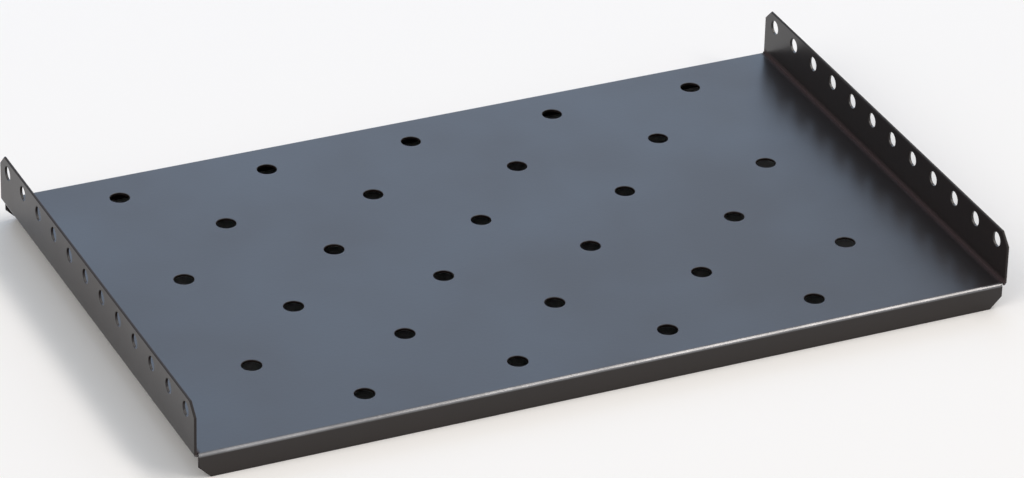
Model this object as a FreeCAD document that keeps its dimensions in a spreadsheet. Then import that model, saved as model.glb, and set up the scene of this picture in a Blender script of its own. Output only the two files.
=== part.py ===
import FreeCAD, Part
import math
import os
import re
import Sketcher
from FreeCAD import Vector

# Cantilever rack shelf: one sheet of steel, folded into a shallow tray.
#
# The deck is flat and pierced all over with staggered ventilation holes. Each side is
# folded up into a flange with a row of bolt holes, by which the shelf is carried between
# the side arms or rails of a rack. The front and the rear are folded down into short
# stiffening lips, as long as the deck, and the flanges' ends lie flush with their faces.
# The free corners of all four folds are cut off at 45 degrees. At each corner of the deck
# a narrow slit parts the lip from the flange, and a round relief hole ends the slit.
#
# Frame: millimetres, +X to the right, +Y to the rear, +Z up. The origin is in the middle
# of the shelf, level with the bottom edges of the lips, on which the shelf can stand.

# The driving dimensions. Each is one cell of the sheet, named by its alias.
DIMENSIONS = {
    "shelf_width": (485.0, "over the outer faces of the side flanges"),
    "shelf_depth": (300.0, "over the outer faces of the front and rear lips"),
    "gauge": (1.5, "thickness of the sheet"),
    "bend_inner": (0.5, "inner radius of every bend"),
    "flange_rise": (30.0, "top of the side flanges above the deck"),
    "lip_drop": (15.0, "bottom of the lips below the deck"),
    "corner_cut": (7.0, "leg of the 45 degree cut on the free corners"),
    "corner_slit": (0.4, "width of the slit between a lip's end and the flange"),
    "relief_bore": (1.0, "diameter of the relief hole that ends each slit"),
    "vent_bore": (11.5, "diameter of the ventilation holes"),
    "vent_columns": (5, "holes in a full row; a staggered row has one less"),
    "vent_rows": (3, "full rows, and as many staggered rows between them"),
    "vent_side": (62.5, "side of the shelf to the first hole of a full row"),
    "vent_end": (25.0, "front of the shelf to the first row, rear to the last"),
    "bolt_bore": (8.4, "diameter of the bolt holes in the flanges"),
    "bolt_count": (12, "bolt holes along each flange"),
    "bolt_end": (12.5, "front of the shelf to the first bolt hole"),
    "bolt_edge": (8.0, "top of the flange to the middle of the bolt holes"),
}

# Places that several features share, as formulas of the dimensions.
BEND_OUTER = "(gauge + bend_inner)"
SIDE_BEND = f"(shelf_width / 2 - {BEND_OUTER})"
END_BEND = f"(shelf_depth / 2 - {BEND_OUTER})"
FLANGE_TOP = "(lip_drop + flange_rise)"
COLUMN_PITCH = "((shelf_width - 2 * vent_side) / (vent_columns - 1))"
ROW_PITCH = "((shelf_depth - 2 * vent_end) / (2 * vent_rows - 1))"

NEAR = 0.01

doc = FreeCAD.newDocument("rack_shelf")
sheet = doc.addObject("Spreadsheet::Sheet", "sizes")
for row, (alias, (value, meaning)) in enumerate(DIMENSIONS.items(), start=1):
    sheet.set(f"A{row}", alias)
    sheet.set(f"B{row}", str(value))
    sheet.set(f"C{row}", meaning)
    sheet.setAlias(f"B{row}", alias)
doc.recompute()

body = doc.addObject("PartDesign::Body", "shelf")
body.Label = "shelf"


def formula(text):
    """The text with each dimension's name turned into a reference to its cell."""
    return re.sub(
        r"[a-z_]+",
        lambda word: f"<<sizes>>.{word[0]}" if word[0] in DIMENSIONS else word[0],
        text,
    )


def origin_feature(role):
    """One of the body's own origin planes or axes, found by its role."""
    return next(feature for feature in body.Origin.OriginFeatures if feature.Role == role)


def new_sketch(name, plane):
    """An empty sketch of the body, on one of its origin planes."""
    sketch = body.newObject("Sketcher::SketchObject", name)
    sketch.AttachmentSupport = [(origin_feature(plane), "")]
    sketch.MapMode = "FlatFace"
    return sketch


def constrain(sketch, *constraints):
    """Adds geometric constraints, each given as its kind and its elements."""
    for constraint in constraints:
        sketch.addConstraint(Sketcher.Constraint(*constraint))


def dimension(sketch, name, text, *constraint):
    """Adds a named dimension to a sketch and drives it by a formula."""
    index = sketch.addConstraint(Sketcher.Constraint(*constraint))
    sketch.renameConstraint(index, name)
    sketch.setExpression(f"Constraints.{name}", formula(text))


def deck_sketch():
    """The outline of the flat deck, from bend line to bend line."""
    sketch = new_sketch("deck_outline", "XY_Plane")
    sketch.setExpression("AttachmentOffset.Base.z", formula("lip_drop - gauge"))
    corners = [Vector(-240, -140), Vector(240, -140), Vector(240, 140), Vector(-240, 140)]
    for index, corner in enumerate(corners):
        sketch.addGeometry(Part.LineSegment(corner, corners[(index + 1) % 4]), False)
    constrain(
        sketch,
        *[("Coincident", index, 2, (index + 1) % 4, 1) for index in range(4)],
        ("Horizontal", 0),
        ("Vertical", 1),
        ("Horizontal", 2),
        ("Vertical", 3),
        ("Symmetric", 0, 1, 1, 2, -1, 1),
    )
    dimension(sketch, "half_width", SIDE_BEND, "DistanceX", -1, 1, 1, 2, 240)
    dimension(sketch, "half_depth", END_BEND, "DistanceY", -1, 1, 1, 2, 140)
    return sketch


def fold_sketch(name, plane, rises, bend_line, bend_level, free_edge):
    """The section of one fold: a quarter bend and the straight leg beyond it.

    The sketch's first axis points outwards and its second axis up. The bend starts at
    bend_line and turns about a centre at bend_level. It rises or drops from there to
    the leg's free edge.
    """
    side = 1 if rises else -1
    inner, outer = 1.0, 2.5
    start, level = 200.0, 30.0
    tip = level + side * 20.0
    quarter = (1.5 * math.pi, 2 * math.pi) if rises else (0.0, 0.5 * math.pi)
    centre = Vector(start, level)
    sketch = new_sketch(name, plane)
    for radius in (inner, outer):
        circle = Part.Circle(centre, Vector(0, 0, 1), radius)
        sketch.addGeometry(Part.ArcOfCircle(circle, *quarter), False)
    outline = [
        (Vector(start + inner, level), Vector(start + inner, tip)),
        (Vector(start + inner, tip), Vector(start + outer, tip)),
        (Vector(start + outer, tip), Vector(start + outer, level)),
        (Vector(start, level - side * outer), Vector(start, level - side * inner)),
    ]
    for first, last in outline:
        sketch.addGeometry(Part.LineSegment(first, last), False)
    bend_inside, bend_outside, leg_inside, edge, leg_outside, root = range(6)
    at_leg, at_root = (2, 1) if rises else (1, 2)
    constrain(
        sketch,
        ("Tangent", bend_inside, at_leg, leg_inside, 1),
        ("Coincident", leg_inside, 2, edge, 1),
        ("Coincident", edge, 2, leg_outside, 1),
        ("Tangent", leg_outside, 2, bend_outside, at_leg),
        ("Coincident", bend_outside, at_root, root, 1),
        ("Coincident", root, 2, bend_inside, at_root),
        ("Coincident", bend_inside, 3, bend_outside, 3),
        ("Vertical", leg_inside),
        ("Horizontal", edge),
        ("Vertical", leg_outside),
        ("Vertical", root),
        ("Vertical", bend_inside, 3, bend_inside, at_root),
    )
    dimension(sketch, "bend_radius", "bend_inner", "Radius", bend_inside, inner)
    dimension(sketch, "thickness", "gauge", "DistanceX", edge, 1, edge, 2, outer - inner)
    dimension(sketch, "bend_line", bend_line, "DistanceX", -1, 1, bend_inside, 3, start)
    dimension(sketch, "bend_level", bend_level, "DistanceY", -1, 1, bend_inside, 3, level)
    if free_edge:
        dimension(sketch, "free_edge", free_edge, "DistanceY", -1, 1, edge, 1, tip)
    else:
        constrain(sketch, ("PointOnObject", edge, 1, -1))
    return sketch


def hole_sketch(name, plane, bore, places):
    """Circles of one diameter, each at a pair of formulas for its distances.

    A distance that starts with a minus sign is measured against the sketch's axis.
    """
    sketch = new_sketch(name, plane)
    for index, place in enumerate(places):
        sketch.addGeometry(Part.Circle(Vector(-50 + 20 * index, 30), Vector(0, 0, 1), 1.0), False)
        dimension(sketch, f"bore_{index}", bore, "Diameter", index, 2.0)
        for axis, kind, text in zip("uv", ("DistanceX", "DistanceY"), place):
            ends = (index, 3, -1, 1) if text.startswith("-") else (-1, 1, index, 3)
            dimension(sketch, f"{axis}_{index}", text.lstrip("-"), kind, *ends, 50.0)
    return sketch


def pad(name, sketch, length, symmetric):
    """A pad of the sketch, to one side or to both sides of its plane."""
    feature = body.newObject("PartDesign::Pad", name)
    feature.Profile = sketch
    feature.SideType = "Symmetric" if symmetric else "One side"
    feature.setExpression("Length", formula(length))
    return feature


def pierce(name, sketch):
    """A pocket of the sketch through everything, to both sides of its plane."""
    feature = body.newObject("PartDesign::Pocket", name)
    feature.Profile = sketch
    feature.SideType = "Symmetric"
    feature.Type = "ThroughAll"
    return feature


def mirror(name, feature, plane):
    """The feature repeated on the other side of an origin plane."""
    mirrored = body.newObject("PartDesign::Mirrored", name)
    mirrored.Originals = [feature]
    mirrored.MirrorPlane = (origin_feature(plane), [""])
    body.Tip = mirrored
    return mirrored


def repeat(name, feature, *runs):
    """The feature repeated along one axis, or over a grid of two.

    Each run gives an axis, a formula for the number and a formula for the distance from
    the first to the last.
    """
    pattern = body.newObject("PartDesign::LinearPattern", name)
    pattern.Originals = [feature]
    for suffix, (axis, number, extent) in zip(("", "2"), runs):
        setattr(pattern, f"Direction{suffix}", (origin_feature(axis), [""]))
        setattr(pattern, f"Mode{suffix}", "Extent")
        pattern.setExpression(f"Occurrences{suffix}", formula(number))
        pattern.setExpression(f"Length{suffix}", formula(extent))
    body.Tip = pattern
    return pattern


def free_corners(shape, *levels):
    """Names of the short edges through the sheet that lie flat at one of the levels."""
    gauge = float(sheet.get("gauge"))
    names = []
    for number, edge in enumerate(shape.Edges, start=1):
        heights = {round(vertex.Z, 3) for vertex in edge.Vertexes}
        short = abs(edge.Length - gauge) < NEAR
        if short and any(heights == {round(level, 3)} for level in levels):
            names.append(f"Edge{number}")
    return names


# The deck, then a fold along each side and a fold along each end.
pad("deck", deck_sketch(), "gauge", False)

flange = fold_sketch(
    "flange_section", "XZ_Plane", True, SIDE_BEND, "lip_drop + bend_inner", FLANGE_TOP
)
mirror("flanges", pad("flange", flange, "shelf_depth", True), "YZ_Plane")

lip = fold_sketch("lip_section", "YZ_Plane", False, END_BEND, f"lip_drop - {BEND_OUTER}", "")
mirror("lips", pad("lip", lip, f"2 * ({SIDE_BEND} - corner_slit)", True), "XZ_Plane")
doc.recompute()

# The cuts across the free corners of the flanges and the lips.
corner_cuts = body.newObject("PartDesign::Chamfer", "corner_cuts")
top = float(sheet.get("lip_drop")) + float(sheet.get("flange_rise"))
corner_cuts.Base = (doc.lips, free_corners(doc.lips.Shape, 0.0, top))
corner_cuts.setExpression("Size", formula("corner_cut"))
body.Tip = corner_cuts

# The relief holes, each at the inner end of a slit.
SLIT_MIDDLE = f"({SIDE_BEND} - corner_slit / 2)"
relief = hole_sketch(
    "relief_outline",
    "XY_Plane",
    "relief_bore",
    [(u + SLIT_MIDDLE, v + END_BEND) for u in ("", "-") for v in ("", "-")],
)
pierce("relief_holes", relief)

# The ventilation holes: full rows, and staggered rows between them, one hole shorter.
FIRST_COLUMN = "shelf_width / 2 - vent_side"
FIRST_ROW = "shelf_depth / 2 - vent_end"
full_row = hole_sketch(
    "full_row_hole", "XY_Plane", "vent_bore", [(f"-({FIRST_COLUMN})", f"-({FIRST_ROW} - {ROW_PITCH})")]
)
repeat(
    "full_rows",
    pierce("full_row_first", full_row),
    ("X_Axis", "vent_columns", f"{COLUMN_PITCH} * (vent_columns - 1)"),
    ("Y_Axis", "vent_rows", f"2 * {ROW_PITCH} * (vent_rows - 1)"),
)
staggered_row = hole_sketch(
    "staggered_row_hole",
    "XY_Plane",
    "vent_bore",
    [(f"-({FIRST_COLUMN} - {COLUMN_PITCH} / 2)", f"-({FIRST_ROW})")],
)
repeat(
    "staggered_rows",
    pierce("staggered_row_first", staggered_row),
    ("X_Axis", "vent_columns - 1", f"{COLUMN_PITCH} * (vent_columns - 2)"),
    ("Y_Axis", "vent_rows", f"2 * {ROW_PITCH} * (vent_rows - 1)"),
)

# The bolt holes, drilled through both flanges at once.
FIRST_BOLT = "shelf_depth / 2 - bolt_end"
bolts = hole_sketch(
    "bolt_hole", "YZ_Plane", "bolt_bore", [(f"-({FIRST_BOLT})", f"{FLANGE_TOP} - bolt_edge")]
)
repeat("bolt_holes", pierce("bolt_first", bolts), ("Y_Axis", "bolt_count", f"2 * ({FIRST_BOLT})"))

doc.recompute()

failed = [o.Name for o in doc.Objects if {"Invalid", "Error"} & set(o.State)]
if failed:
    raise RuntimeError(f"these objects failed: {', '.join(failed)}")
if body.Shape.isNull() or not body.Shape.isValid() or len(body.Shape.Solids) != 1:
    raise RuntimeError("the shelf is not one valid solid")

os.makedirs("parts", exist_ok=True)
body.Shape.exportStep(f"parts/{body.Label}.step")
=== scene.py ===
"""Dresses and lights a folded sheet-steel rack shelf.

The shelf is cut out of one flat blank and folded: the sides go up into bolted flanges,
the front and the rear go down into lips. Blank and FoldedShelf repeat those steps in
mesh code, PowderCoat is the finish, and Studio and ShelfCamera show the shelf. Lengths
are in metres.
"""

import logging
import math
from dataclasses import dataclass, field
from enum import Enum
from typing import Iterator, Sequence

import bpy
from mathutils import Euler, Matrix, Vector
from mathutils.geometry import delaunay_2d_cdt


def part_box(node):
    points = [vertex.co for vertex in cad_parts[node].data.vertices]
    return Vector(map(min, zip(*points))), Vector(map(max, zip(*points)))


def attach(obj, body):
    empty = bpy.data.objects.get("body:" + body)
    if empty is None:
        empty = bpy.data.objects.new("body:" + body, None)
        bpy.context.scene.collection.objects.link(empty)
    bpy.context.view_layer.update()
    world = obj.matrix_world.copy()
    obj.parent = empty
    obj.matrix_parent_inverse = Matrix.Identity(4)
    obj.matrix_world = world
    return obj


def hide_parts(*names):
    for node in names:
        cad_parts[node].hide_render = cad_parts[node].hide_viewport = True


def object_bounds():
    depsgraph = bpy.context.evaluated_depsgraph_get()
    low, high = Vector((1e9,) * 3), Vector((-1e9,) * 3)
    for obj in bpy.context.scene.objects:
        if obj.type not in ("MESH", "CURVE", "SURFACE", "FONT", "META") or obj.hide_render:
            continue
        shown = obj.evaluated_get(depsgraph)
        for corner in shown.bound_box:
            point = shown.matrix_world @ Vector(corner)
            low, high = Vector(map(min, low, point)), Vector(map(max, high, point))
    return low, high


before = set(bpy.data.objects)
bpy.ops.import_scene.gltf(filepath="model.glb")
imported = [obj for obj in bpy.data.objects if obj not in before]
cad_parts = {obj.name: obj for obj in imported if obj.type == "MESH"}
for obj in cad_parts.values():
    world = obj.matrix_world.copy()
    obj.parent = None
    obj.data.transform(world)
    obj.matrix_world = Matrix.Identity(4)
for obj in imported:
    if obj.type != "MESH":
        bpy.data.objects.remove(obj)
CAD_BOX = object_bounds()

log = logging.getLogger("rack_shelf")

MM = 0.001
NODE = "shelf"
BODY = "root"
SLOT = "powder_coat"

# Points of the blank that are nearer to each other than this become one.
WELD = 1e-7
# The sharpest turn of a cut edge that is still shaded as a curve.
SMOOTH_TURN = math.radians(30)
# The range that holds most values of a noise, and how strong its finer octaves are.
NOISE_LOW, NOISE_HIGH = 0.35, 0.65
NOISE_ROUGHNESS = 0.55

# A point of the flat blank: how far across and how far along it lies from the middle.
Flat = tuple[float, float]
Triangle = tuple[int, int, int]
Colour = tuple[float, float, float]
Socket = bpy.types.NodeSocket
# What an input of a node can be given.
Feed = Socket | Colour | float


class Side(Enum):
    """The two faces of the sheet, by the share of its gauge that lies above each."""

    UPPER = 0
    LOWER = 1

    @property
    def facing(self) -> int:
        """1 for the face that looks up on the deck, and -1 for the other."""
        return 1 - 2 * self.value


class WearAndPaintedLight(Enum):
    """The ways in which the coat differs from place to place, as the mesh names them: wear, and a
    painted highlight along the inside of the bends.
    """

    RUBBED = "rubbed"
    THIN = "thin"
    SHEARED = "sheared"


class Arithmetic(Enum):
    """The sums that the finishes and the surround need."""

    PRODUCT = "MULTIPLY"
    PRODUCT_AND_SUM = "MULTIPLY_ADD"
    LARGER = "MAXIMUM"


def put_in_scene(thing: bpy.types.Object) -> None:
    """Links an object to the scene."""
    bpy.context.scene.collection.objects.link(thing)


def turn(a: Flat, b: Flat, c: Flat) -> float:
    """Twice the area of a triangle, positive if its corners run anticlockwise."""
    return (b[0] - a[0]) * (c[1] - a[1]) - (b[1] - a[1]) * (c[0] - a[0])


@dataclass(frozen=True)
class Hole:
    """A round hole in the flat blank.

    Attributes:
        centre: The middle of the hole on the blank.
        radius: The radius of its wall.
        facets: How many flats its wall is made of.
    """

    centre: Flat
    radius: float
    facets: int

    def points(self, ease: float) -> list[Flat]:
        """The hole's rim on the sheet's face.

        Args:
            ease: How far the eased edge reaches out from the wall.

        Returns:
            Points around the rim.
        """
        reach = self.radius + ease
        step = 2 * math.pi / self.facets
        return [
            (self.centre[0] + reach * math.cos(i * step), self.centre[1] + reach * math.sin(i * step))
            for i in range(self.facets)
        ]

    def holds(self, point: Flat, ease: float) -> bool:
        """True if the point lies inside the hole's rim."""
        apothem = (self.radius + ease) * math.cos(math.pi / self.facets)
        return math.dist(point, self.centre) < apothem


@dataclass(frozen=True)
class Bend:
    """A right-angle bend of the sheet, measured on its upper face.

    Attributes:
        start: From the middle of the blank to where the bend starts.
        radius: Radius of the upper face around it.
        rise: 1 where it turns the sheet up, and -1 where it turns it down.
    """

    start: float
    radius: float
    rise: int

    @property
    def arc(self) -> float:
        """Length of the upper face around the bend."""
        return self.radius * math.pi / 2

    @property
    def end(self) -> float:
        """From the middle of the blank to where the bend ends."""
        return self.start + self.arc

    def lines(self, steps: int, margin: float) -> list[float]:
        """Where the blank is divided to follow the bend.

        Args:
            steps: Flats that the bend is made of.
            margin: How far the first and last line lie before and after it.

        Returns:
            The distance of each line from the middle of the blank.
        """
        turns = [self.start + self.arc * step / steps for step in range(steps + 1)]
        return [turns[0] - margin, *turns, turns[-1] + margin]

    def turned(self, place: float) -> float:
        """How much of the bend lies before that place, from 0 to 1."""
        return min(max((place - self.start) / self.arc, 0), 1)

    def gap(self, place: float) -> float:
        """How far that place lies before the bend or after it, and 0 within it."""
        return max(self.start - place, place - self.end, 0)

    def section(self, place: float, depth: float) -> tuple[float, float, float]:
        """Where a point of the blank goes, seen along the bend's line.

        Args:
            place: From the middle of the blank to the point, less than 0 on its other side.
            depth: How far it lies below the sheet's upper face.

        Returns:
            How far out and how far up from the deck's top it goes, and the sheet's slope
            there.
        """
        sign, beyond = math.copysign(1, place), max(abs(place) - self.start, 0)
        angle = self.turned(abs(place)) * math.pi / 2
        reach = self.radius + self.rise * depth
        out = self.start + reach * math.sin(angle)
        up = self.rise * (self.radius - reach * math.cos(angle) + max(beyond - self.arc, 0))
        return sign * out, up, sign * self.rise * angle


@dataclass(frozen=True)
class ShelfSizes:
    """The shelf's sizes, in metres: its box from the frame, the rest as made.

    Attributes:
        half_width: From the middle to a flange's outer face.
        half_depth: From the middle to a lip's outer face.
        height: From the lips' bottom edges to the flanges' top edges.
        deck: Height of the deck's top.
        gauge: Thickness of the sheet.
        bend_inner: Inner radius of the bends.
        corner_cut: Leg of the 45 degree cuts.
        corner_slit: Width of the slit between a lip's end and a flange.
        relief_radius: Radius of the hole that ends each slit.
        vent_radius: Radius of the ventilation holes.
        vent_columns: Ventilation holes in a full row.
        vent_rows: Full rows, and as many staggered rows.
        vent_side: From a flange's outer face to the first hole of a full row.
        vent_end: From a lip's outer face to the nearest row.
        bolt_radius: Radius of the bolt holes.
        bolt_count: Bolt holes along a flange.
        bolt_end: From a lip's outer face to the nearest bolt hole.
        bolt_edge: From a flange's top edge to the middle of its bolt holes.
    """

    half_width: float
    half_depth: float
    height: float
    deck: float = 15 * MM
    gauge: float = 1.5 * MM
    bend_inner: float = 0.5 * MM
    corner_cut: float = 7 * MM
    corner_slit: float = 0.4 * MM
    relief_radius: float = 0.5 * MM
    vent_radius: float = 5.75 * MM
    vent_columns: int = 5
    vent_rows: int = 3
    vent_side: float = 62.5 * MM
    vent_end: float = 25 * MM
    bolt_radius: float = 4.2 * MM
    bolt_count: int = 12
    bolt_end: float = 12.5 * MM
    bolt_edge: float = 8 * MM

    @classmethod
    def of_node(cls, node: str) -> "ShelfSizes":
        """The sizes of a shelf that fills the node's box.

        Args:
            node: Name of the frame's node.

        Returns:
            The sizes, with the box's own and the usual ones for the rest.
        """
        low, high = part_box(node)
        return cls(half_width=high.x, half_depth=high.y, height=high.z - low.z)

    @property
    def bend_outer(self) -> float:
        """Outer radius of the bends."""
        return self.bend_inner + self.gauge

    @property
    def side_bend(self) -> Bend:
        """The bends that turn the sides up."""
        return Bend(start=self.half_width - self.bend_outer, radius=self.bend_inner, rise=1)

    @property
    def end_bend(self) -> Bend:
        """The bends that turn the front and the rear down."""
        return Bend(start=self.half_depth - self.bend_outer, radius=self.bend_outer, rise=-1)

    @property
    def lip_end(self) -> float:
        """From the middle to the lips' ends."""
        return self.side_bend.start - self.corner_slit

    @property
    def slit_middle(self) -> float:
        """From the middle to the middle of the slits, which part the lips from the flanges."""
        return self.side_bend.start - self.corner_slit / 2

    @property
    def flat_half_width(self) -> float:
        """From the middle of the blank to the flange's free edge."""
        return self.side_bend.end + self.height - self.deck - self.bend_inner

    @property
    def flat_half_depth(self) -> float:
        """From the middle of the blank to the lip's free edge."""
        return self.end_bend.end + self.deck - self.bend_outer


@dataclass
class Blank:
    """The flat blank, laid out on the sheet's upper face before it is folded.

    Attributes:
        sizes: The shelf's sizes.
        ease: Radius of the sheared outline's eased edges.
        hole_ease: Radius of the punched holes' eased edges.
        inner_highlight_reach: How far the painted highlight of an inside corner spreads from its
            bend.
        bend_steps: Flats that each bend is made of.
        vent_facets: Flats around a ventilation hole.
        bolt_facets: Flats around a bolt hole.
        relief_steps: Flats around a corner relief.
    """

    sizes: ShelfSizes
    ease: float = 0.6 * MM
    hole_ease: float = 0.3 * MM
    inner_highlight_reach: float = 2.8 * MM
    bend_steps: int = 12
    vent_facets: int = 56
    bolt_facets: int = 40
    relief_steps: int = 14

    def vents(self) -> Iterator[Hole]:
        """Lays out the deck's ventilation holes: full rows, with shorter rows between them.

        Yields:
            Each hole, row by row from the front.
        """
        sizes = self.sizes
        pitch = 2 * (sizes.half_width - sizes.vent_side) / (sizes.vent_columns - 1)
        rows = 2 * sizes.vent_rows
        row_pitch = 2 * (sizes.half_depth - sizes.vent_end) / (rows - 1)
        for row in range(rows):
            columns = sizes.vent_columns - 1 + row % 2
            for column in range(columns):
                place = (
                    pitch * (column - (columns - 1) / 2),
                    row_pitch * (row - (rows - 1) / 2),
                )
                yield Hole(place, sizes.vent_radius, self.vent_facets)

    def bolts(self) -> Iterator[Hole]:
        """Lays out the bolt holes of both flanges.

        Yields:
            Each hole, flange by flange from the front.
        """
        sizes = self.sizes
        pitch = 2 * (sizes.half_depth - sizes.bolt_end) / (sizes.bolt_count - 1)
        for side in (-1, 1):
            for index in range(sizes.bolt_count):
                place = (
                    side * (sizes.flat_half_width - sizes.bolt_edge),
                    pitch * (index - (sizes.bolt_count - 1) / 2),
                )
                yield Hole(place, sizes.bolt_radius, self.bolt_facets)

    def corner(self) -> list[Flat]:
        """The outline's quarter from the right flange to the rear lip, eased back.

        Returns:
            Points along it: the flange's cut end, the relief, and the lip's cut end.
        """
        sizes, ease = self.sizes, self.ease
        wide, tall = sizes.flat_half_width - ease, sizes.half_depth - ease
        side, deep = sizes.lip_end - ease, sizes.flat_half_depth - ease
        # A cut's legs get this much shorter when it and both its neighbours move in.
        cut = sizes.corner_cut - ease * (2 - math.sqrt(2))
        reach = sizes.relief_radius + ease
        start = math.acos((sizes.corner_slit / 2 + ease) / reach)
        sweep = math.pi + 2 * start
        relief = [
            (
                sizes.slit_middle + reach * math.cos(start - sweep * i / self.relief_steps),
                sizes.end_bend.start + reach * math.sin(start - sweep * i / self.relief_steps),
            )
            for i in range(self.relief_steps + 1)
        ]
        flange = [(wide, tall - cut), (wide - cut, tall), (sizes.side_bend.start + ease, tall)]
        return [*flange, *relief, (side, deep - cut), (side - cut, deep)]

    def outline(self) -> list[Flat]:
        """The whole outline, from the quarter and its reflections.

        Returns:
            Points around it, anticlockwise.
        """
        quarter = self.corner()
        back = list(reversed(quarter))
        left_rear = [(-u, v) for u, v in back]
        left_front = [(-u, -v) for u, v in quarter]
        right_front = [(u, -v) for u, v in back]
        return quarter + left_rear + left_front + right_front

    def bend_lines(self) -> Iterator[tuple[Flat, Flat]]:
        """Divides the blank where it has to follow the bends and the painted highlight beside them.

        Yields:
            The two ends of each line.
        """
        sizes = self.sizes
        for sign in (-1, 1):
            for u in sizes.side_bend.lines(self.bend_steps, self.inner_highlight_reach):
                yield (sign * u, -sizes.half_depth), (sign * u, sizes.half_depth)
            for v in sizes.end_bend.lines(self.bend_steps, self.inner_highlight_reach):
                yield (-sizes.lip_end, sign * v), (sizes.lip_end, sign * v)

    def is_sheet(self, point: Flat, holes: Sequence[Hole]) -> bool:
        """Tells sheet from the slits, the holes and what lies outside the outline.

        Args:
            point: A point within the blank's hull.
            holes: The blank's holes.

        Returns:
            True if there is sheet at that point.
        """
        sizes, ease = self.sizes, self.ease
        u, v = abs(point[0]), abs(point[1])
        past_lip = u > sizes.lip_end - ease
        beside_lip = past_lip and v > sizes.half_depth - ease
        in_slit = past_lip and u < sizes.side_bend.start + ease and v > sizes.end_bend.start
        middle = (sizes.slit_middle, sizes.end_bend.start)
        relief = Hole(middle, sizes.relief_radius, self.relief_steps)
        if beside_lip or in_slit or relief.holds((u, v), ease):
            return False
        return not any(hole.holds(point, self.hole_ease) for hole in holes)

    def triangles(self) -> tuple[list[Flat], list[Triangle]]:
        """Divides the blank's face into triangles that keep to its edges and bend lines.

        Returns:
            The points, and the triangles as indices into them, anticlockwise.
        """
        holes = [*self.vents(), *self.bolts()]
        points: list[Flat] = []
        edges: list[tuple[int, int]] = []
        for loop in [self.outline(), *(hole.points(self.hole_ease) for hole in holes)]:
            first = len(points)
            points.extend(loop)
            edges.extend((first + i, first + (i + 1) % len(loop)) for i in range(len(loop)))
        for line in self.bend_lines():
            first = len(points)
            points.extend(line)
            edges.append((first, first + 1))
        found, _, faces, *_ = delaunay_2d_cdt([Vector(p) for p in points], edges, [], 0, WELD, False)
        places = [(p.x, p.y) for p in found]
        kept = []
        for a, b, c in faces:
            middle = tuple(sum(places[i][axis] for i in (a, b, c)) / 3 for axis in (0, 1))
            if self.is_sheet(middle, holes):
                kept.append((a, b, c) if turn(places[a], places[b], places[c]) > 0 else (a, c, b))
        return places, kept


@dataclass(frozen=True)
class Rim:
    """One closed cut edge of the blank, with the sheet on the left of it.

    Attributes:
        points: Indices of the edge's points, in order.
        outward: The way out of the sheet at each point, scaled to keep edges parallel.
        ahead: The way out of the sheet along the stretch after each point.
        sheared: True for the sheared outline, False for a punched hole.
    """

    points: list[int]
    outward: list[Vector]
    ahead: list[Vector]
    sheared: bool

    @classmethod
    def around(cls, points: list[int], places: Sequence[Flat]) -> "Rim":
        """The rim through these points.

        Args:
            points: Indices of the points, in order.
            places: Where each point of the blank lies.

        Returns:
            The rim.
        """
        ahead = []
        area = 0.0
        for here, after in zip(points, points[1:] + points[:1]):
            area += turn((0.0, 0.0), places[here], places[after])
            along = (Vector(places[after]) - Vector(places[here])).normalized()
            ahead.append(Vector((along.y, -along.x)))
        outward = []
        for before, after in zip(ahead[-1:] + ahead[:-1], ahead):
            outward.append((before + after) / (1 + before.dot(after)))
        return cls(points, outward, ahead, area > 0)

    def direction(self, index: int, stretch: int) -> Vector:
        """The wall's direction at a point, as seen from one of its two stretches.

        Args:
            index: Place of the point in the rim.
            stretch: Place of the stretch, named by the point that it starts from.

        Returns:
            The shared direction on a smooth turn, and the stretch's own on a corner.
        """
        before, after = self.ahead[index - 1], self.ahead[index]
        if before.dot(after) > math.cos(SMOOTH_TURN):
            return self.outward[index].normalized()
        return self.ahead[stretch]


@dataclass
class Draft:
    """A mesh while it is put together.

    Attributes:
        points: Its points.
        wear_and_painted_light: How much of each kind of wear, and of the painted highlight, shows at
            each point.
        polygons: Its faces, as indices into the points.
        normals: The exact normal at each corner of each face.
    """

    points: list[Vector] = field(default_factory=list)
    wear_and_painted_light: dict[WearAndPaintedLight, list[float]] = field(default_factory=lambda: {kind: [] for kind in WearAndPaintedLight})
    polygons: list[tuple[int, ...]] = field(default_factory=list)
    normals: list[Vector] = field(default_factory=list)

    def add_point(self, point: Vector, wear_and_painted_light: dict[WearAndPaintedLight, float]) -> int:
        """Adds a point.

        Args:
            point: Where it lies.
            wear_and_painted_light: How worn the coat is there, and how strong its painted highlight,
                where it has any.

        Returns:
            The point's index.
        """
        self.points.append(point)
        for kind, values in self.wear_and_painted_light.items():
            values.append(wear_and_painted_light.get(kind, 0.0))
        return len(self.points) - 1

    def add_face(self, corners: Sequence[tuple[int, Vector]]) -> None:
        """Adds a face.

        Args:
            corners: The index of each corner's point, and the normal there.
        """
        self.polygons.append(tuple(index for index, _ in corners))
        self.normals.extend(normal for _, normal in corners)

    def make(self, name: str) -> bpy.types.Object:
        """Makes the mesh and its object.

        Args:
            name: The name of both.

        Returns:
            The object, in the scene.
        """
        mesh = bpy.data.meshes.new(name)
        mesh.from_pydata(self.points, [], self.polygons)
        mesh.shade_smooth()
        mesh.normals_split_custom_set(self.normals)
        for kind, values in self.wear_and_painted_light.items():
            mesh.attributes.new(kind.value, "FLOAT", "POINT").data.foreach_set("value", values)
        made = bpy.data.objects.new(name, mesh)
        put_in_scene(made)
        return made


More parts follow.
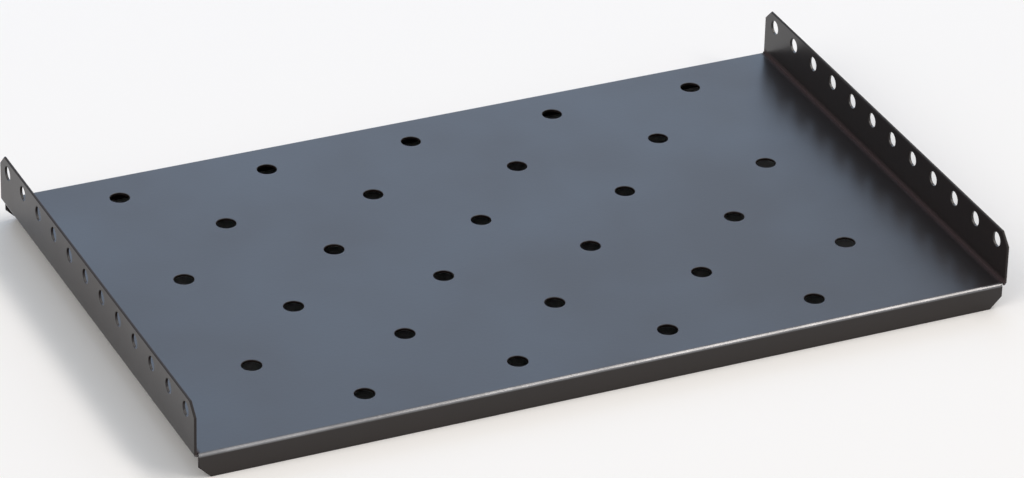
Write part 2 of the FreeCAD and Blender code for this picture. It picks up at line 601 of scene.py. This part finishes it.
@dataclass
class FoldedShelf:
    """The shelf as one folded sheet, with its cut edges eased all round.

    Attributes:
        sizes: The shelf's sizes.
        ease_steps: Flats around each eased edge.
        blank: The flat blank that it is folded from.
        places: Where each point of the blank lies.
        triangles: The blank's triangles, as indices into its points.
    """

    sizes: ShelfSizes
    ease_steps: int = 5
    blank: Blank = field(init=False)
    places: list[Flat] = field(init=False)
    triangles: list[Triangle] = field(init=False)

    def __post_init__(self) -> None:
        """Lays out the blank and divides it."""
        self.blank = Blank(self.sizes)
        self.places, self.triangles = self.blank.triangles()

    def fold(self, place: Flat, depth: float) -> tuple[Vector, Matrix]:
        """Where a point of the blank goes when the sheet is folded.

        Args:
            place: The point on the blank.
            depth: How far it lies below the sheet's upper face.

        Returns:
            The point, and a matrix whose columns are the blank's two directions and
            the upper face's normal there.
        """
        sizes = self.sizes
        u, v = place
        if abs(u) > sizes.slit_middle:
            out, up, slope = sizes.side_bend.section(u, depth)
            point = Vector((out, v, sizes.deck + up))
            across, along = Vector((math.cos(slope), 0, math.sin(slope))), Vector((0, 1, 0))
        elif abs(v) > sizes.end_bend.start:
            out, up, slope = sizes.end_bend.section(v, depth)
            point = Vector((u, out, sizes.deck + up))
            across, along = Vector((1, 0, 0)), Vector((0, math.cos(slope), math.sin(slope)))
        else:
            return Vector((u, v, sizes.deck - depth)), Matrix.Identity(3)
        return point, Matrix((across, along, across.cross(along))).transposed()

    def wear_and_painted_light(self, place: Flat, depth: float) -> dict[WearAndPaintedLight, float]:
        """How the coat differs at the bends: rubbed on their outside, and on their inside a duller
        band with a painted highlight.

        Args:
            place: The point on the blank.
            depth: How far it lies below the sheet's upper face.

        Returns:
            How rubbed it is, 1 on the crown of a bend, and how strong the painted highlight on its
            inside is, 1 all round the bend.
        """
        sizes, reach = self.sizes, self.blank.inner_highlight_reach
        u, v = abs(place[0]), abs(place[1])
        lower = depth / sizes.gauge
        by_side = v <= sizes.end_bend.start and u > sizes.side_bend.start - reach
        if u > sizes.slit_middle or by_side:
            bend, at, outside = sizes.side_bend, u, lower
        else:
            bend, at, outside = sizes.end_bend, v, 1 - lower
        return {
            WearAndPaintedLight.RUBBED: outside * math.sin(math.pi * bend.turned(at)),
            # The inner face gets a painted highlight, full in the bend and fading over the reach
            # beside it.
            WearAndPaintedLight.THIN: (1 - outside) * max(1 - bend.gap(at) / reach, 0),
        }

    def rims(self) -> list[Rim]:
        """Finds the closed cut edges of the blank.

        Returns:
            One rim for the outline and one for each hole.
        """
        sides = {(t[i], t[(i + 1) % 3]) for t in self.triangles for i in range(3)}
        after = {a: b for a, b in sides if (b, a) not in sides}
        rims = []
        while after:
            first = here = next(iter(after))
            points = []
            while here in after:
                points.append(here)
                here = after.pop(here)
            if here != first:
                raise ValueError("a cut edge of the blank isn't closed")
            rims.append(Rim.around(points, self.places))
        return rims

    def profile(self, ease: float) -> list[tuple[float, float, float]]:
        """The cut edge's section, from the upper face to the lower one.

        Args:
            ease: Radius of the eased edges.

        Returns:
            For each ring: how far out of the face's rim it lies, how deep below the
            upper face, and the angle of the surface there, from the face's normal.
        """
        gauge = self.sizes.gauge
        quarter = [math.pi / 2 * i / self.ease_steps for i in range(self.ease_steps + 1)]
        upper = [(ease * math.sin(a), ease * (1 - math.cos(a)), a) for a in quarter]
        lower = [(out, gauge - deep, math.pi - a) for out, deep, a in reversed(upper)]
        return upper + lower

    def add_side(self, draft: Draft, side: Side) -> list[int]:
        """Adds one face of the folded sheet.

        Args:
            draft: The mesh that it goes into.
            side: Which face.

        Returns:
            Which of the mesh's points each point of the blank has become.
        """
        depth = self.sizes.gauge * side.value
        folded = [self.fold(place, depth) for place in self.places]
        normals = [axes.col[2] * side.facing for _, axes in folded]
        indices = [
            draft.add_point(point, self.wear_and_painted_light(place, depth))
            for place, (point, _) in zip(self.places, folded)
        ]
        for triangle in self.triangles:
            draft.add_face([(indices[i], normals[i]) for i in triangle[::side.facing]])
        return indices

    def add_wall(self, draft: Draft, rim: Rim, upper: list[int], lower: list[int]) -> None:
        """Adds the wall of a cut edge, between the two faces of the folded sheet.

        Args:
            draft: The mesh that it goes into.
            rim: The cut edge.
            upper: The upper face's points, by the blank's.
            lower: The lower face's points, by the blank's.
        """
        profile = self.profile(self.blank.ease if rim.sheared else self.blank.hole_ease)
        rings = [[upper[index] for index in rim.points]]
        for out, deep, _ in profile[1:-1]:
            ring = []
            for index, outward in zip(rim.points, rim.outward):
                place = tuple(Vector(self.places[index]) + outward * out)
                wear_and_painted_light = {**self.wear_and_painted_light(place, deep), WearAndPaintedLight.SHEARED: float(rim.sheared)}
                ring.append(draft.add_point(self.fold(place, deep)[0], wear_and_painted_light))
            rings.append(ring)
        rings.append([lower[index] for index in rim.points])
        axes = [self.fold(self.places[index], 0)[1] for index in rim.points]
        for level in range(len(rings) - 1):
            for i in range(len(rim.points)):
                j = (i + 1) % len(rim.points)
                corners = []
                for at, ring in ((i, level), (i, level + 1), (j, level + 1), (j, level)):
                    angle = profile[ring][2]
                    flat = rim.direction(at, stretch=i) * math.sin(angle)
                    normal = axes[at] @ Vector((flat.x, flat.y, math.cos(angle)))
                    corners.append((rings[ring][at], normal))
                draft.add_face(corners)

    def build(self) -> bpy.types.Object:
        """Makes the shelf's mesh, with the exact normal at every corner of every face.

        Returns:
            The shelf's object.
        """
        draft = Draft()
        upper, lower = (self.add_side(draft, side) for side in Side)
        for rim in self.rims():
            self.add_wall(draft, rim, upper, lower)
        return draft.make("folded_shelf")


@dataclass
class NodeGraph:
    """The nodes of a material or of the world, with short ways to add to them.

    Attributes:
        tree: The node tree.
    """

    tree: bpy.types.NodeTree

    def feed(self, socket: Socket, source: Feed) -> None:
        """Gives an input its value.

        Args:
            socket: The input.
            source: Another node's output, a colour or a number.
        """
        if isinstance(source, Socket):
            self.tree.links.new(source, socket)
        else:
            socket.default_value = (*source, 1) if isinstance(source, tuple) else source

    def add(self, kind: str, output: str, feeds: dict[str | int, Feed], **options: str) -> Socket:
        """Adds a node.

        Args:
            kind: The node's type.
            output: The name of the output that is wanted.
            feeds: What its inputs get, by their names or places.
            options: Its other settings.

        Returns:
            The output.
        """
        node = self.tree.nodes.new(kind)
        for name, value in options.items():
            setattr(node, name, value)
        for name, source in feeds.items():
            self.feed(node.inputs[name], source)
        return node.outputs[output]

    def reckon(self, kind: Arithmetic, *values: Feed) -> Socket:
        """The result of a sum on two or three values."""
        return self.add("ShaderNodeMath", "Value", dict(enumerate(values)), operation=kind.value)

    def painted_light_and_wear(self, kind: WearAndPaintedLight) -> Socket:
        """How strong one of the mesh's marks is on the coat: a kind of wear, or the painted
        highlight.
        """
        return self.add("ShaderNodeAttribute", "Fac", {}, attribute_name=kind.value)

    def mix(self, factor: Socket, start: Feed, end: Feed) -> Socket:
        """A colour or a number that turns into another.

        Args:
            factor: How far it has turned, from 0 to 1.
            start: The first colour or number.
            end: The other one.

        Returns:
            The mixture.
        """
        kind = "FLOAT" if isinstance(end, float) else "RGBA"
        feeds = {"Factor": factor, "A": start, "B": end}
        return self.add("ShaderNodeMix", "Result", feeds, data_type=kind)

    def spread(self, noise: Socket, low: float, high: float) -> Socket:
        """Spreads the middle of a noise over a range.

        Args:
            noise: The noise.
            low: What its usual low values become.
            high: What its usual high values become.

        Returns:
            The spread noise.
        """
        feeds = {
            "Value": noise,
            "From Min": NOISE_LOW,
            "From Max": NOISE_HIGH,
            "To Min": low,
            "To Max": high,
        }
        return self.add("ShaderNodeMapRange", "Result", feeds)


@dataclass(frozen=True)
class Texture:
    """An irregular pattern in the film.

    Attributes:
        width: Width of its features.
        octaves: How much finer detail it has.
        depth: Depth of its dimples.
    """

    width: float
    octaves: float
    depth: float = 0.0

    def noise(self, graph: NodeGraph, place: Socket) -> Socket:
        """Makes the pattern's noise.

        Args:
            graph: The nodes that it goes into.
            place: The point of the shelf, measured on the shelf itself.

        Returns:
            The noise.
        """
        feeds = {
            "Vector": place,
            "Scale": 1 / self.width,
            "Detail": self.octaves,
            "Roughness": NOISE_ROUGHNESS,
        }
        return graph.add("ShaderNodeTexNoise", "Fac", feeds)

    def bump(self, graph: NodeGraph, noise: Socket, over: Socket | None = None) -> Socket:
        """Presses the pattern into the film.

        Args:
            graph: The nodes that it goes into.
            noise: The pattern's noise.
            over: The surface's direction as a coarser pattern leaves it, if there is one.

        Returns:
            The surface's direction.
        """
        feeds = {"Strength": 1.0, "Distance": self.depth, "Height": noise}
        if over is not None:
            feeds["Normal"] = over
        return graph.add("ShaderNodeBump", "Normal", feeds)


@dataclass(frozen=True)
class PowderCoat:
    """Satin black powder coat on steel.

    The powder melts into a film that is never quite level: it has a fine orange peel,
    a finer grain, and broad faint patches where it came out slightly glossier. Handling
    has rubbed it to a metallic shine on the outside of the folds. In their inside corners
    it is dull and carries a painted highlight, a lighter reddish band. It is dull on the
    rough sheared edges too.

    Attributes:
        name: Name of the material.
        dark: Colour where the film is thin.
        light: Colour where the film is thick.
        grain_share: How far the thickness follows the grain, and for the rest the patches.
        gloss_roughness: Roughness of the glossiest patches.
        dull_roughness: Roughness of the dullest patches.
        refraction: Refractive index of the film.
        bare: Colour of the metal that shines through on the folds.
        bare_least: How much of it shows on the dullest crown of a fold.
        bare_most: How much of it shows on the brightest crown of a fold.
        bare_roughness: Roughness of the rubbed folds.
        thin: Colour of the painted highlight in the inside corners.
        inner_highlight_roughness: Roughness of that band.
        sheared_roughness: Roughness of the film on the sheared edges.
        patch: The broad patches.
        grain: The powder's grain.
        peel: The orange peel's dimples.
        rub: The rubbed stretches.
    """

    name: str = SLOT
    dark: Colour = (0.0060, 0.0028, 0.0022)
    light: Colour = (0.0095, 0.0048, 0.0038)
    grain_share: float = 0.5
    gloss_roughness: float = 0.29
    dull_roughness: float = 0.36
    refraction: float = 1.5
    bare: Colour = (0.58, 0.58, 0.60)
    bare_least: float = 0.322
    bare_most: float = 0.46
    bare_roughness: float = 0.2
    # Painted highlight: a lighter reddish colour along the inside of the bends.
    thin: Colour = (0.035, 0.018, 0.0185)
    inner_highlight_roughness: float = 0.92
    sheared_roughness: float = 0.75
    patch: Texture = Texture(width=90 * MM, octaves=3.0)
    grain: Texture = Texture(width=0.35 * MM, octaves=2.0, depth=0.005 * MM)
    peel: Texture = Texture(width=2.2 * MM, octaves=1.0, depth=0.02 * MM)
    rub: Texture = Texture(width=25 * MM, octaves=4.0)

    def material(self) -> bpy.types.Material:
        """Makes the finish.

        Returns:
            The material.
        """
        material = bpy.data.materials.new(self.name)
        material.use_nodes = True
        graph = NodeGraph(material.node_tree)
        place = graph.add("ShaderNodeTexCoord", "Object", {})
        patches, grain, peel, rub = (
            texture.noise(graph, place) for texture in (self.patch, self.grain, self.peel, self.rub)
        )
        rubbed, thin, sheared = (graph.painted_light_and_wear(kind) for kind in WearAndPaintedLight)

        broad = graph.spread(patches, 0.0, 1 - self.grain_share)
        thick = graph.reckon(Arithmetic.PRODUCT_AND_SUM, grain, self.grain_share, broad)
        film = graph.mix(thick, self.dark, self.light)
        shine = graph.spread(rub, self.bare_least, self.bare_most)
        bare = graph.reckon(Arithmetic.PRODUCT, rubbed, shine)
        # The inside of the bends gets a lighter colour here, a painted highlight.
        colour = graph.mix(bare, graph.mix(thin, film, self.thin), self.bare)

        haze = graph.spread(patches, self.gloss_roughness, self.dull_roughness)
        haze = graph.mix(thin, haze, self.inner_highlight_roughness)
        haze = graph.mix(rubbed, haze, self.bare_roughness)
        haze = graph.mix(sheared, haze, self.sheared_roughness)

        dimpled = self.grain.bump(graph, grain, over=self.peel.bump(graph, peel))
        shader = material.node_tree.nodes["Principled BSDF"].inputs
        shader["IOR"].default_value = self.refraction
        graph.feed(shader["Base Color"], colour)
        graph.feed(shader["Metallic"], bare)
        graph.feed(shader["Roughness"], haze)
        graph.feed(shader["Normal"], dimpled)
        return material


@dataclass(frozen=True)
class Softbox:
    """A soft rectangular lamp.

    Attributes:
        name: Name of the lamp.
        towards: Direction from the shelf to the lamp.
        away: Its distance from the shelf.
        width: Its size across the shelf.
        height: Its size the other way.
        radiance: How bright its face is, where 1 is a white that just reaches white.
        colour: Its colour.
    """

    name: str
    towards: tuple[float, float, float]
    away: float
    width: float
    height: float
    radiance: float
    colour: Colour

    def light(self, aim: Vector) -> bpy.types.Object:
        """Hangs the lamp and turns it to the shelf.

        Args:
            aim: The point that the lamp faces.

        Returns:
            The lamp's object.
        """
        lamp = bpy.data.lights.new(self.name, "AREA")
        lamp.shape = "RECTANGLE"
        lamp.size = self.width
        lamp.size_y = self.height
        lamp.energy = self.radiance * math.pi * self.width * self.height
        lamp.color = self.colour
        lit = bpy.data.objects.new(self.name, lamp)
        out = Vector(self.towards).normalized()
        length = out.cross(Vector((1, 0, 0))).normalized()
        lit.location = aim + out * self.away
        lit.rotation_euler = Matrix((length.cross(out), length, out)).transposed().to_euler()
        lit.visible_camera = False
        put_in_scene(lit)
        return lit


@dataclass(frozen=True)
class Studio:
    """A pale floor under a white surround, with soft lamps.

    Attributes:
        floor_half: Half the floor's side.
        floor_colour: Colour of the floor.
        surround_colour: Colour of the surround.
        surround: Brightness of the surround as it lights the shelf.
        lamps: The lamps.
    """

    floor_half: float = 12.0
    floor_colour: Colour = (0.97, 0.955, 0.94)
    surround_colour: Colour = (0.92, 0.96, 1.0)
    surround: float = 0.455
    lamps: tuple[Softbox, ...] = (
        Softbox(
            name="overhead_softbox",
            towards=(0.475, -0.25, 0.85),
            away=9.0,
            width=1.7,
            height=10.8,
            radiance=7.0,
            colour=(1.0, 0.93, 0.86),
        ),
        Softbox(
            name="rear_softbox",
            towards=(0.19, 0.84, 0.50),
            away=2.6,
            width=2.1,
            height=1.6,
            radiance=1.38,
            colour=(0.39, 0.625, 1.0),
        ),
        Softbox(
            name="left_reflector",
            towards=(-0.70, -0.25, 0.67),
            away=6.0,
            width=4.0,
            height=4.0,
            radiance=2.0,
            colour=(1.0, 0.95, 0.89),
        ),
    )

    def floor(self, level: float) -> bpy.types.Object:
        """Lays the floor.

        Args:
            level: Height of the floor.

        Returns:
            The floor's object.
        """
        half = self.floor_half
        mesh = bpy.data.meshes.new("floor")
        corners = [(u * half, v * half, level) for u, v in ((-1, -1), (1, -1), (1, 1), (-1, 1))]
        mesh.from_pydata(corners, [], [(0, 1, 2, 3)])
        floor = bpy.data.objects.new("floor", mesh)
        put_in_scene(floor)
        mesh.materials.append(self.floor_material())
        return floor

    def floor_material(self) -> bpy.types.Material:
        """Makes the floor's pale matt paint.

        Returns:
            The material.
        """
        material = bpy.data.materials.new("floor_paint")
        material.use_nodes = True
        nodes = material.node_tree.nodes
        nodes.remove(nodes["Principled BSDF"])
        graph = NodeGraph(material.node_tree)
        paint = graph.add("ShaderNodeBsdfDiffuse", "BSDF", {"Color": self.floor_colour})
        graph.feed(nodes["Material Output"].inputs["Surface"], paint)
        return material

    def surroundings(self) -> bpy.types.World:
        """Makes the surround: plain white to the eye and in reflections, softer as a light.

        Returns:
            The world, as the scene's own.
        """
        world = bpy.data.worlds.new("surround")
        world.use_nodes = True
        nodes = world.node_tree.nodes
        graph = NodeGraph(world.node_tree)
        rays = nodes.new("ShaderNodeLightPath").outputs
        seen = rays["Is Camera Ray"]
        for kind in ("Is Glossy Ray", "Is Transmission Ray"):
            seen = graph.reckon(Arithmetic.LARGER, seen, rays[kind])
        levels = {"Value": seen, "To Min": self.surround, "To Max": 1.0}
        sky = nodes["Background"].inputs
        graph.feed(sky["Color"], self.surround_colour)
        graph.feed(sky["Strength"], graph.add("ShaderNodeMapRange", "Result", levels))
        bpy.context.scene.world = world
        return world

    def build(self, level: float, aim: Vector) -> list[bpy.types.Object]:
        """Sets up the floor, the surround and the lamps.

        Args:
            level: Height of the floor.
            aim: The point that the lamps face.

        Returns:
            The floor's object and the lamps'.
        """
        bpy.context.scene.view_settings.view_transform = "Standard"
        self.surroundings()
        return [self.floor(level), *(lamp.light(aim) for lamp in self.lamps)]


@dataclass(frozen=True)
class ShelfCamera:
    """A long lens that looks down on the shelf from its front left.

    Attributes:
        azimuth: Turn about the shelf, in degrees, 0 looking to the rear.
        elevation: Angle above the horizon, in degrees.
        roll: Lean of the camera, in degrees, to the right if positive.
        lens: Focal length, in millimetres.
        sensor: Width of the frame behind the lens, in millimetres.
        away: Distance from the camera to the point it aims at.
        sight: Distance beyond which nothing shows.
        aim: The point it aims at.
    """

    azimuth: float = -25.05
    elevation: float = 29.52
    roll: float = 1.546
    lens: float = 194.85
    sensor: float = 36.0
    away: float = 3.115
    sight: float = 100.0
    aim: tuple[float, float, float] = (0.0072, -0.0016, 0.015)

    def build(self) -> bpy.types.Object:
        """Sets up the camera and makes it the scene's own.

        Returns:
            The camera's object.
        """
        data = bpy.data.cameras.new("shelf_camera")
        data.sensor_width = self.sensor
        data.lens = self.lens
        data.clip_end = self.sight
        camera = bpy.data.objects.new("shelf_camera", data)
        turn_about, tilt, lean = (math.radians(a) for a in (self.azimuth, self.elevation, self.roll))
        back = Vector((math.sin(turn_about), -math.cos(turn_about), 0)) * math.cos(tilt)
        back.z = math.sin(tilt)
        camera.location = Vector(self.aim) + back * self.away
        level = Euler((math.pi / 2 - tilt, 0, turn_about)).to_matrix()
        camera.rotation_euler = (level @ Matrix.Rotation(lean, 3, "Z")).to_euler()
        put_in_scene(camera)
        bpy.context.scene.camera = camera
        return camera


def main() -> None:
    """Builds the shelf, the studio and the camera."""
    logging.basicConfig(level=logging.INFO, format="%(name)s: %(message)s")
    sizes = ShelfSizes.of_node(NODE)
    shelf = FoldedShelf(sizes).build()
    shelf.data.materials.append(PowderCoat().material())
    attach(shelf, BODY)
    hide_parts(NODE)
    log.info("%s: %d faces, in %s", shelf.name, len(shelf.data.polygons), SLOT)

    low, _ = CAD_BOX
    for thing in Studio().build(low.z, Vector((0, 0, sizes.deck))):
        log.info("studio: %s", thing.name)
    camera = ShelfCamera().build()
    log.info("camera: %s", camera.name)


if __name__ == "__main__":
    main()
